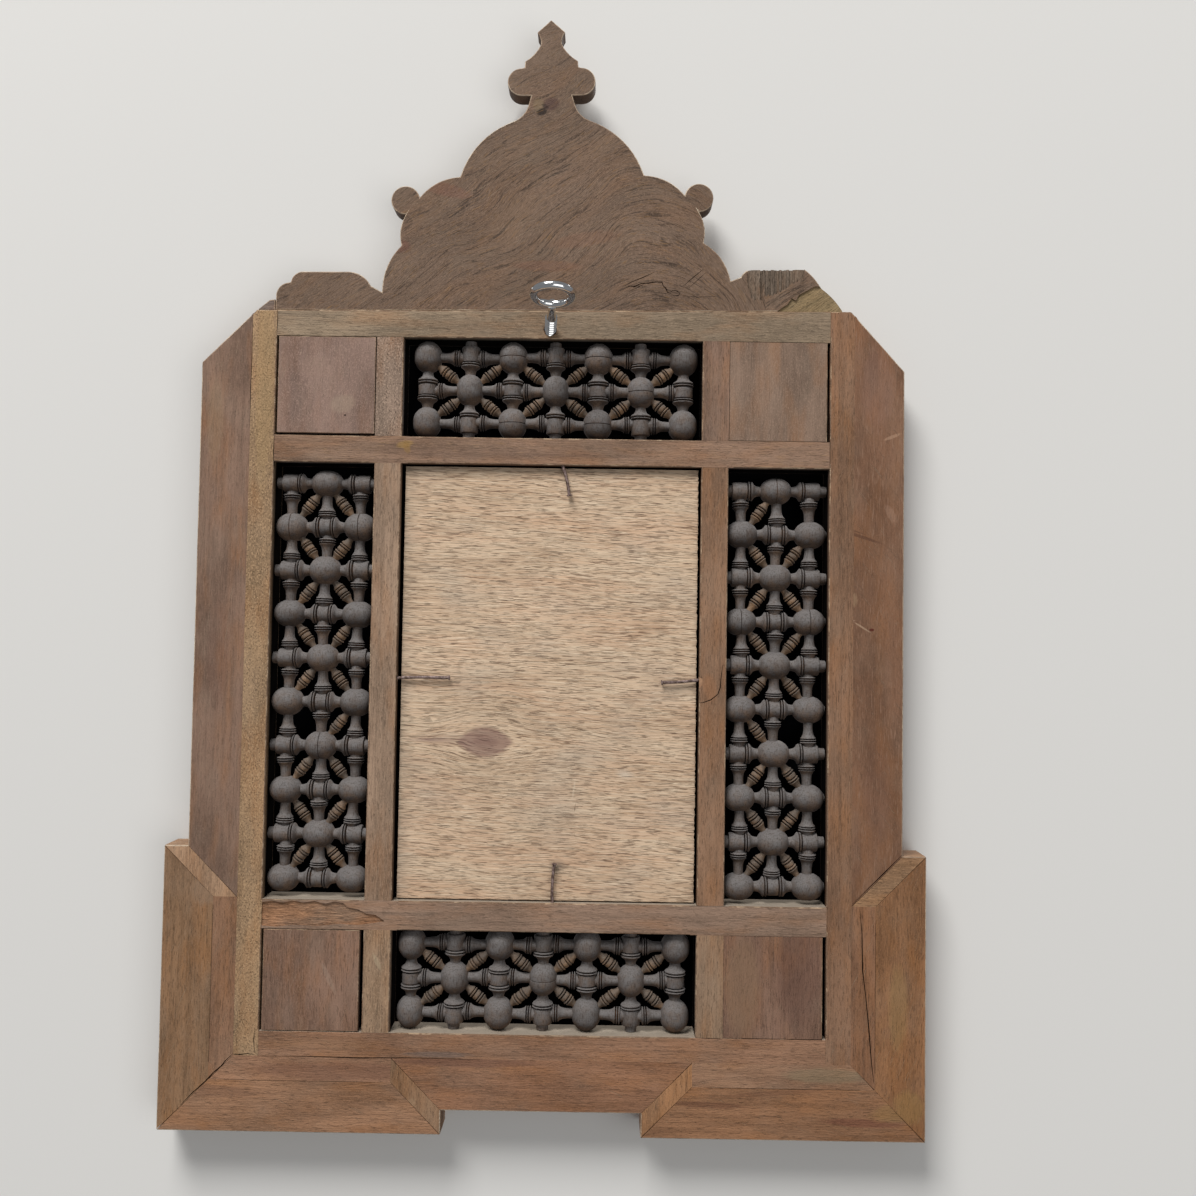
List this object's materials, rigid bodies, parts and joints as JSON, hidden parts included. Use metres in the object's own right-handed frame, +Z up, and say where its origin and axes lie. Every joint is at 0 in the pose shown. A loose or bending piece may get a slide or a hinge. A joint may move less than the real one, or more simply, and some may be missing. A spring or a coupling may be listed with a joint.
{
  "type": "mashrabiya wall frame",
  "caption": "Wooden wall frame with eared, mitred mouldings, panels of turned lattice round a boarded picture opening, a fretted crest and a screw eye in its back.",
  "frame": {"origin": "centre of the screw eye's ring, which the frame hangs by", "axes": "+Z up along the frame's height, +Y from the back through to the front, +X to the right as seen from the back"},
  "size_m": [0.3252, 0.0576, 0.4824],
  "materials": {
    "moulding": "worn oiled wood, satin",
    "strip": "dry sawn wood, matt",
    "panel": "worn wood, satin",
    "crest": "figured wood, satin",
    "lattice": "dusty turned wood",
    "plywood": "raw pale plywood",
    "rusty_nail": "rusted wire",
    "chrome": "bright plated"
  },
  "bodies": {
    "root": {"backing_board": "plywood", "centre_board": "moulding", "corner_panel_bottom_left": "panel", "corner_panel_bottom_right": "panel", "corner_panel_top_left": "panel", "corner_panel_top_right": "panel", "crest": "crest", "crest_tip_left": "crest", "ear_board_left": "moulding", "ear_board_right": "moulding", "ear_filler_left": "moulding", "ear_filler_right": "moulding", "ear_return_left": "moulding", "ear_return_right": "moulding", "foot_board_left": "moulding", "foot_board_right": "moulding", "foot_filler_left": "moulding", "foot_filler_right": "moulding", "foot_return_left": "moulding", "foot_return_right": "moulding", "hanging_eye": "chrome", "lattice_bottom": "lattice", "lattice_left": "lattice", "lattice_right": "lattice", "lattice_top": "lattice", "muntin_bottom_left": "strip", "muntin_bottom_right": "strip", "muntin_middle_left": "strip", "muntin_middle_right": "strip", "muntin_top_left": "strip", "muntin_top_right": "strip", "nail_bottom": "rusty_nail", "nail_left": "rusty_nail", "nail_right": "rusty_nail", "nail_top": "rusty_nail", "rail_bottom": "strip", "rail_lower": "strip", "rail_top": "strip", "rail_upper": "strip", "side_moulding_left": "moulding", "side_moulding_right": "moulding", "stile_left": "strip", "stile_right": "strip"}
  },
  "joints": []
}
